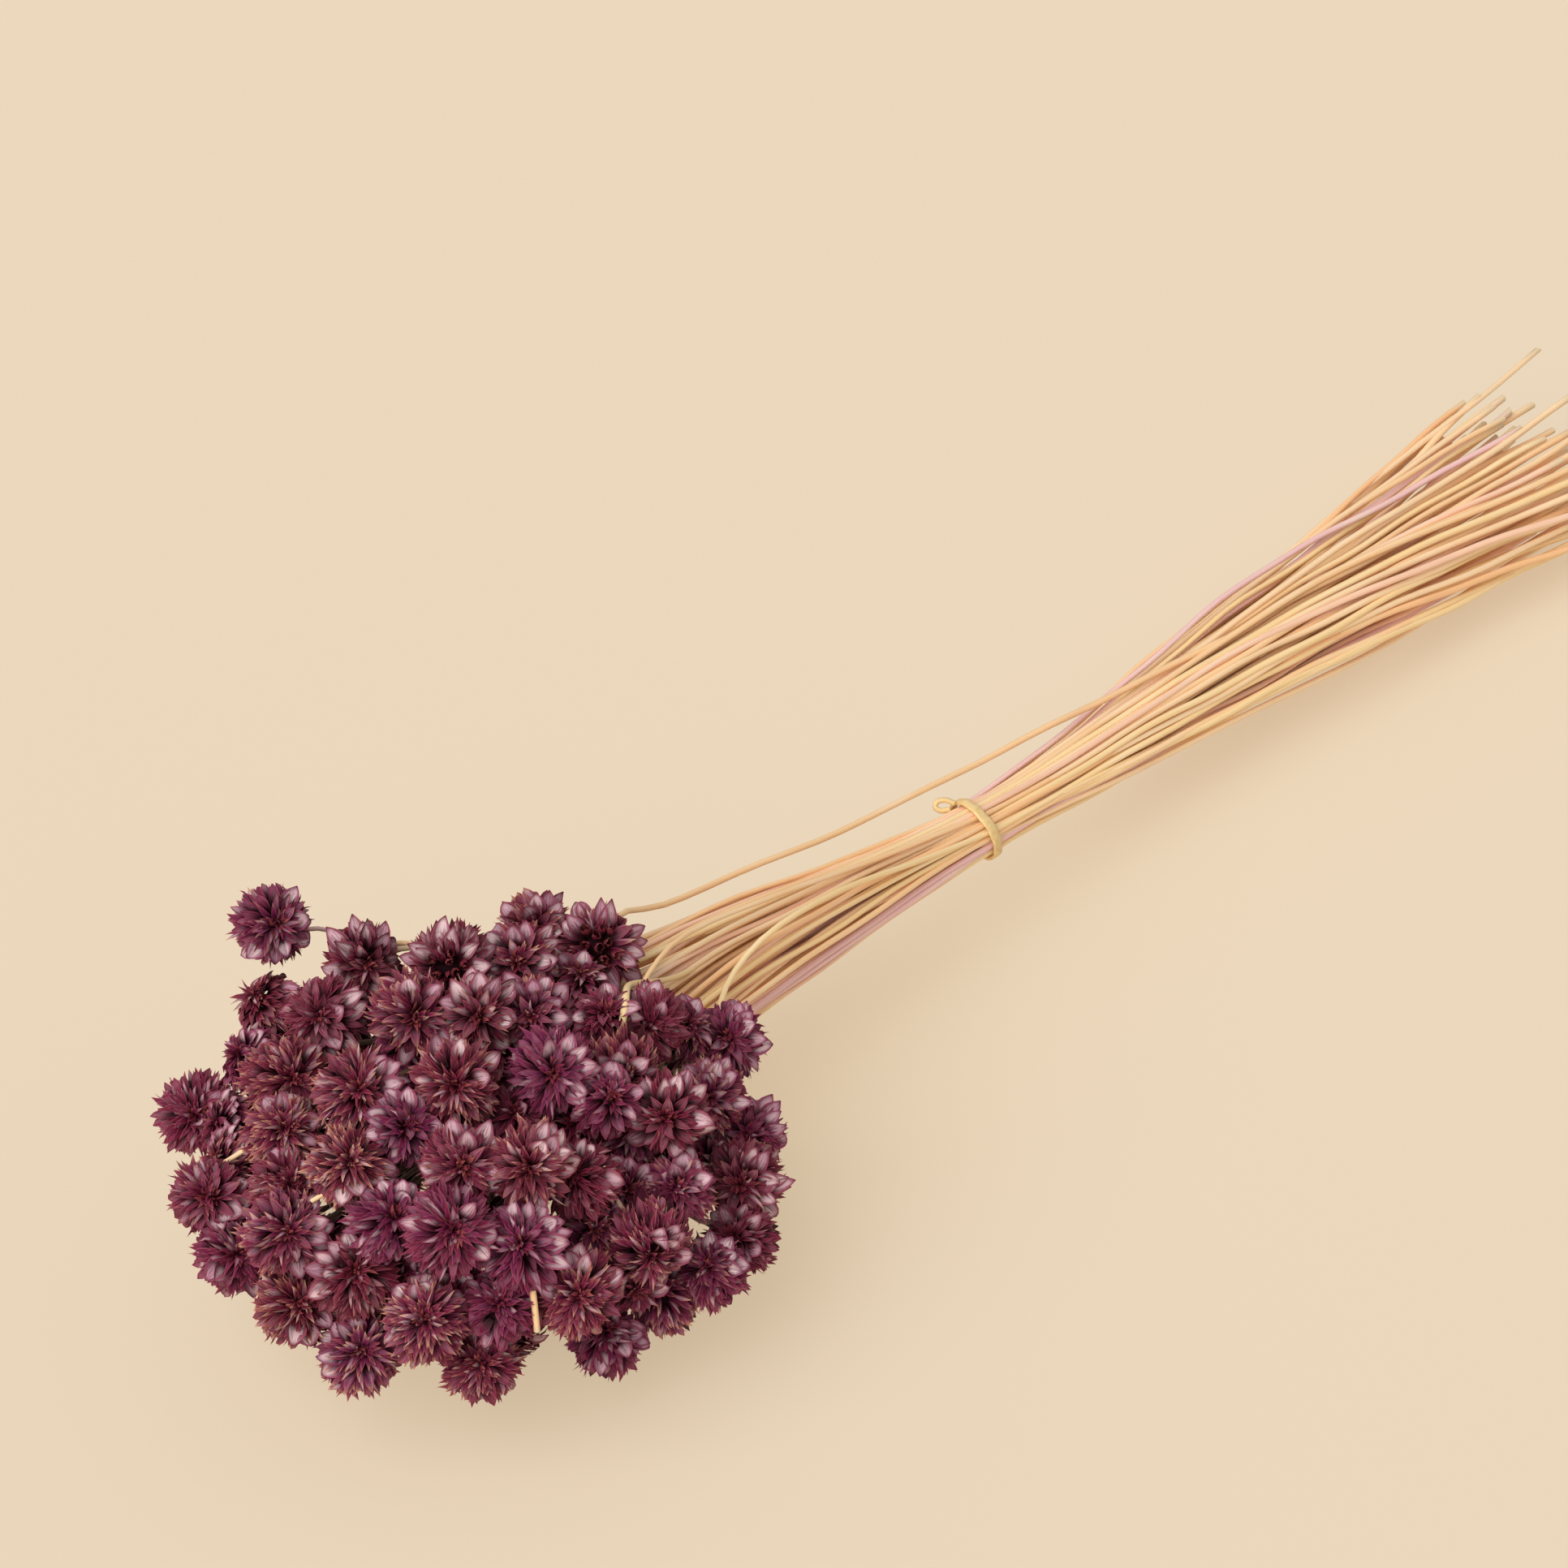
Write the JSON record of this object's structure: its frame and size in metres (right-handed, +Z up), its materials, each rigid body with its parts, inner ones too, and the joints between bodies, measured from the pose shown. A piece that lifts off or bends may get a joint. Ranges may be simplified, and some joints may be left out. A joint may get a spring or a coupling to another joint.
{
  "type": "dried flower bunch",
  "caption": "Bunch of small dried lilac-purple flower heads on thin straw stems, tied with a rubber band and lying on its side.",
  "frame": {"origin": "on the surface that the bunch rests on, under the middle of its box", "axes": "+X along the stems from the flowers to the cut ends, +Y across the bunch, +Z up"},
  "size_m": [0.5915, 0.149, 0.0939],
  "materials": {
    "petals": "dry papery bracts, dusky lilac purple with paler middles and tan tips",
    "stems": "dry straw, satin, with fine lengthwise grain",
    "band": "matt cream latex"
  },
  "bodies": {
    "root": {"blooms_01": "petals", "blooms_02": "petals", "blooms_03": "petals", "blooms_04": "petals", "blooms_05": "petals", "blooms_06": "petals", "blooms_07": "petals", "blooms_08": "petals", "blooms_09": "petals", "blooms_10": "petals", "blooms_11": "petals", "blooms_12": "petals", "blooms_13": "petals", "blooms_14": "petals", "blooms_15": "petals", "blooms_16": "petals", "blooms_17": "petals", "blooms_18": "petals", "blooms_19": "petals", "blooms_20": "petals", "blooms_21": "petals", "blooms_22": "petals", "blooms_23": "petals", "blooms_24": "petals", "blooms_25": "petals", "blooms_26": "petals", "blooms_27": "petals", "blooms_28": "petals", "blooms_29": "petals", "blooms_30": "petals", "blooms_31": "petals", "blooms_32": "petals", "blooms_33": "petals", "blooms_34": "petals", "blooms_35": "petals", "blooms_36": "petals", "blooms_37": "petals", "blooms_38": "petals", "blooms_39": "petals", "blooms_40": "petals", "blooms_41": "petals", "blooms_42": "petals", "blooms_43": "petals", "blooms_44": "petals", "blooms_45": "petals", "blooms_46": "petals", "blooms_47": "petals", "blooms_48": "petals", "blooms_49": "petals", "blooms_50": "petals", "blooms_51": "petals", "blooms_52": "petals", "blooms_53": "petals", "blooms_54": "petals", "blooms_55": "petals", "blooms_56": "petals", "blooms_57": "petals", "blooms_58": "petals", "stems": "stems", "rubber_band": "band"}
  },
  "joints": []
}
